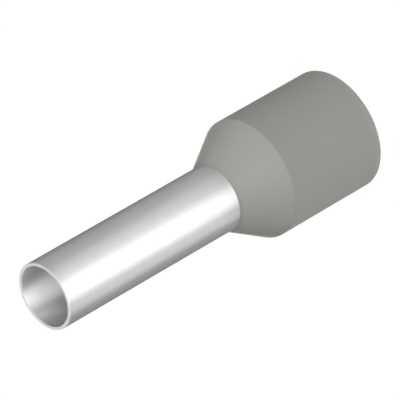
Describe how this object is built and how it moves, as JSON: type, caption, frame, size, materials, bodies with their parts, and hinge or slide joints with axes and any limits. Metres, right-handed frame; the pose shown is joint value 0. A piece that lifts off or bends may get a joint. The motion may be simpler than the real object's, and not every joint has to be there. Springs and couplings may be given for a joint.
{
  "type": "wire ferrule",
  "caption": "Insulated wire ferrule: a bare crimp tube for stranded wire, flared inside a funnel-shaped plastic collar that takes the wire's insulation.",
  "frame": {"origin": "centre of the collar's mouth, on the surface the part stands on", "axes": "+Z along the ferrule's round axis, from the wire's side to the crimp tube's tip; X and Y are free, because the part is round"},
  "size_m": [0.0056, 0.0056, 0.0175],
  "materials": {
    "tinned_copper": "satin",
    "collar_plastic": "satin"
  },
  "bodies": {
    "root": {"contact_sleeve": "tinned_copper", "insulating_collar": "collar_plastic"}
  },
  "joints": []
}
